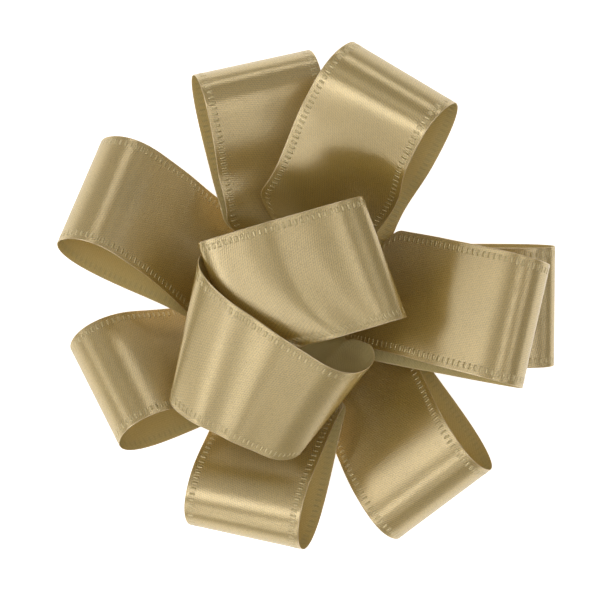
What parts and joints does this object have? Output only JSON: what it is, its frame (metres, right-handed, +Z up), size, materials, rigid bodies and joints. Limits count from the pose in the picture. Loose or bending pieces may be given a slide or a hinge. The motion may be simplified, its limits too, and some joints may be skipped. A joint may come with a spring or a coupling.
{
  "type": "gift bow",
  "caption": "Pre-made gift bow of wide satin ribbon: a clockwise spiral of teardrop loops with standing centre loops, stapled to a card with an adhesive foam pad",
  "frame": {"origin": "the middle of the flat underside, under the staple", "axes": "+Z is up, away from the gift; +X runs towards the lowest loop; azimuths are counter-clockwise seen from above"},
  "size_m": [0.1541, 0.1547, 0.0542],
  "materials": {
    "satin": "champagne-gold single-face satin with a bright weft sheen and a picot-like woven edge",
    "liner_paper": "smooth silicone-coated paper",
    "foam": "white closed-cell foam with adhesive faces",
    "card": "smooth greyboard",
    "staple_wire": "bright galvanised wire"
  },
  "bodies": {
    "clinched_base": {"foam_pad": "foam", "backing_card": "card", "staple": "staple_wire", "loop_1_ends": "satin", "loop_2_ends": "satin", "loop_3_ends": "satin", "loop_4_ends": "satin", "loop_5_ends": "satin", "loop_6_ends": "satin", "loop_7_ends": "satin", "loop_8_ends": "satin", "lower_centre_ends": "satin", "upper_centre_ends": "satin"},
    "loop_1_body": {"loop_1": "satin"},
    "loop_2_body": {"loop_2": "satin"},
    "loop_3_body": {"loop_3": "satin"},
    "loop_4_body": {"loop_4": "satin"},
    "loop_5_body": {"loop_5": "satin"},
    "loop_6_body": {"loop_6": "satin"},
    "loop_7_body": {"loop_7": "satin"},
    "loop_8_body": {"loop_8": "satin"},
    "lower_centre_loop_body": {"lower_centre_loop": "satin"},
    "upper_centre_loop_body": {"upper_centre_loop": "satin"},
    "liner": {"release_liner": "liner_paper"}
  },
  "joints": [
    {"name": "loop_1_flex", "type": "hinge", "parent": "clinched_base", "child": "loop_1_body", "pos_m": [0.016, -0.00028, 0.0055], "axis": [-0.0175, -0.9998, 0], "range_deg": [-2, 4], "stiffness_Nm_per_rad": 0.02},
    {"name": "loop_2_flex", "type": "hinge", "parent": "clinched_base", "child": "loop_2_body", "pos_m": [0.00824, -0.01371, 0.0065], "axis": [-0.8572, -0.515, 0], "range_deg": [-1.5, 1.5], "stiffness_Nm_per_rad": 0.02},
    {"name": "loop_3_flex", "type": "hinge", "parent": "clinched_base", "child": "loop_3_body", "pos_m": [-0.00494, -0.01522, 0.0075], "axis": [-0.9511, 0.309, 0], "range_deg": [-2, 4], "stiffness_Nm_per_rad": 0.02},
    {"name": "loop_4_flex", "type": "hinge", "parent": "clinched_base", "child": "loop_4_body", "pos_m": [-0.01545, -0.00414, 0.0085], "axis": [-0.2588, 0.9659, 0], "range_deg": [-1, 1], "stiffness_Nm_per_rad": 0.02},
    {"name": "loop_5_flex", "type": "hinge", "parent": "clinched_base", "child": "loop_5_body", "pos_m": [-0.01386, 0.008, 0.0095], "axis": [0.5, 0.866, 0], "range_deg": [-3, 5], "stiffness_Nm_per_rad": 0.02},
    {"name": "loop_6_flex", "type": "hinge", "parent": "clinched_base", "child": "loop_6_body", "pos_m": [-0.00319, 0.01568, 0.0105], "axis": [0.9799, 0.1994, 0], "range_deg": [-3, 2], "stiffness_Nm_per_rad": 0.02},
    {"name": "loop_7_flex", "type": "hinge", "parent": "clinched_base", "child": "loop_7_body", "pos_m": [0.00563, 0.0106, 0.0115], "axis": [0.8829, -0.4695, 0], "range_deg": [-2, 6], "stiffness_Nm_per_rad": 0.02},
    {"name": "loop_8_flex", "type": "hinge", "parent": "clinched_base", "child": "loop_8_body", "pos_m": [0.01174, -0.00249, 0.0125], "axis": [-0.2079, -0.9781, 0], "range_deg": [-1.5, 7], "stiffness_Nm_per_rad": 0.02},
    {"name": "lower_centre_loop_flex", "type": "hinge", "parent": "clinched_base", "child": "lower_centre_loop_body", "pos_m": [0, 0, 0.0135], "axis": [0.7615, -0.6481, 0], "range_deg": [-0.5, 1], "stiffness_Nm_per_rad": 0.03},
    {"name": "upper_centre_loop_flex", "type": "hinge", "parent": "clinched_base", "child": "upper_centre_loop_body", "pos_m": [0, 0, 0.0145], "axis": [0.9613, 0.2756, 0], "range_deg": [-1, 2], "stiffness_Nm_per_rad": 0.03},
    {"name": "liner_peel", "type": "slide", "parent": "clinched_base", "child": "liner", "axis": [0.1736, -0.9848, 0], "range_m": [0, 0.05]}
  ]
}
